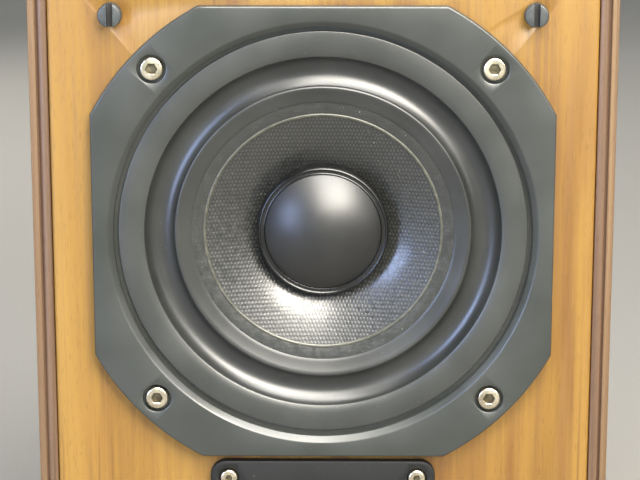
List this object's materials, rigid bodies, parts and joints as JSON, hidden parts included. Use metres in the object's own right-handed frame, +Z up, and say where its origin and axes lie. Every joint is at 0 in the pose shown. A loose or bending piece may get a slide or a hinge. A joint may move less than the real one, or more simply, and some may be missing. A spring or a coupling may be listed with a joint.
{
  "type": "bookshelf speaker",
  "caption": "Bookshelf speaker: veneered wood cabinet, woven-cone woofer above a dome tweeter, rear reflex port and screw-down terminals, grille off.",
  "frame": {"origin": "centre of the cabinet's base, on the surface it stands on", "axes": "+Z up, -Y the way the drivers face, +X to the right as seen from the front"},
  "size_m": [0.215, 0.2601, 0.35],
  "materials": {
    "veneer": "satin varnished veneer",
    "bare_board": "bare fibreboard",
    "moulded_black": "fine moulded grain",
    "rubber_roll": "smooth",
    "cone_weave": "woven and coated",
    "satin_black_cap": "satin",
    "black_foam": "open cell foam",
    "resin_cloth": "resin soaked cloth",
    "copper_wire": "enamelled",
    "plated_steel": "zinc plated",
    "ferrite": "sintered",
    "grey_plastic": "moulded",
    "dome_cloth": "doped cloth",
    "circuit_board": "solder mask",
    "white_ceramic": "unglazed",
    "gold_plate": "gold plated",
    "moulded_red": "moulded"
  },
  "bodies": {
    "cabinet": {"cabinet_bottom": "veneer", "cabinet_top": "veneer", "cabinet_left": "veneer", "cabinet_right": "veneer", "front_baffle": "veneer", "back_panel": "veneer", "shelf_brace": "bare_board", "woofer_basket": "moulded_black", "tweeter_faceplate": "moulded_black", "terminal_cup": "moulded_black", "port_tube": "moulded_black", "tweeter_lead": "moulded_black", "woofer_gasket": "black_foam", "damping_foam": "black_foam", "crossover_inductor": "copper_wire", "woofer_top_plate": "plated_steel", "woofer_yoke": "plated_steel", "tweeter_top_plate": "plated_steel", "tweeter_yoke": "plated_steel", "woofer_screw_1": "plated_steel", "woofer_screw_2": "plated_steel", "woofer_screw_3": "plated_steel", "woofer_screw_4": "plated_steel", "tweeter_screw_1": "plated_steel", "tweeter_screw_2": "plated_steel", "tweeter_screw_3": "plated_steel", "tweeter_screw_4": "plated_steel", "cup_screw_1": "plated_steel", "cup_screw_2": "plated_steel", "cup_screw_3": "plated_steel", "cup_screw_4": "plated_steel", "woofer_magnet": "ferrite", "tweeter_magnet": "ferrite", "grille_peg_1": "grey_plastic", "grille_peg_2": "grey_plastic", "grille_peg_3": "grey_plastic", "grille_peg_4": "grey_plastic", "woofer_terminal_strip": "grey_plastic", "crossover_capacitor": "grey_plastic", "crossover_board": "circuit_board", "crossover_resistor": "white_ceramic", "binding_post_red": "gold_plate", "binding_post_black": "gold_plate", "input_lead": "moulded_red", "woofer_lead": "moulded_red"},
    "woofer_diaphragm": {"woofer_surround": "rubber_roll", "woofer_cone": "cone_weave", "dust_cap_ring": "moulded_black", "dust_cap": "satin_black_cap", "voice_coil_former": "resin_cloth", "voice_coil": "copper_wire", "spider": "resin_cloth", "tinsel_lead_left": "copper_wire", "tinsel_lead_right": "copper_wire"},
    "tweeter_diaphragm": {"tweeter_dome": "dome_cloth", "tweeter_voice_coil": "copper_wire"},
    "clamp_red": {"clamp_washer_red": "gold_plate"},
    "nut_red": {"thumb_nut_red": "moulded_red"},
    "clamp_black": {"clamp_washer_black": "gold_plate"},
    "nut_black": {"thumb_nut_black": "moulded_black"}
  },
  "joints": [
    {"name": "woofer_excursion", "type": "slide", "parent": "cabinet", "child": "woofer_diaphragm", "axis": [0, -1, 0], "range_m": [-0.004, 0.004], "stiffness_N_per_m": 1000, "deforming": ["woofer_surround", "spider", "tinsel_lead_left", "tinsel_lead_right"]},
    {"name": "tweeter_excursion", "type": "slide", "parent": "cabinet", "child": "tweeter_diaphragm", "axis": [0, -1, 0], "range_m": [-0.0004, 0.0004], "stiffness_N_per_m": 1500, "deforming": ["tweeter_dome"]},
    {"name": "clamp_slide_red", "type": "slide", "parent": "cabinet", "child": "clamp_red", "axis": [0, 1, 0], "range_m": [0, 0.004]},
    {"name": "nut_turn_red", "type": "hinge", "parent": "clamp_red", "child": "nut_red", "pos_m": [-0.0095, 0.115, 0.085], "axis": [0, 1, 0], "range_deg": [0, 1810]},
    {"name": "clamp_slide_black", "type": "slide", "parent": "cabinet", "child": "clamp_black", "axis": [0, 1, 0], "range_m": [0, 0.004]},
    {"name": "nut_turn_black", "type": "hinge", "parent": "clamp_black", "child": "nut_black", "pos_m": [0.0095, 0.115, 0.085], "axis": [0, 1, 0], "range_deg": [0, 1810]}
  ],
  "couplings": [
    {"joint": "nut_turn_red", "follows": "clamp_slide_red", "rad_per_m": 7854},
    {"joint": "nut_turn_black", "follows": "clamp_slide_black", "rad_per_m": 7854}
  ]
}
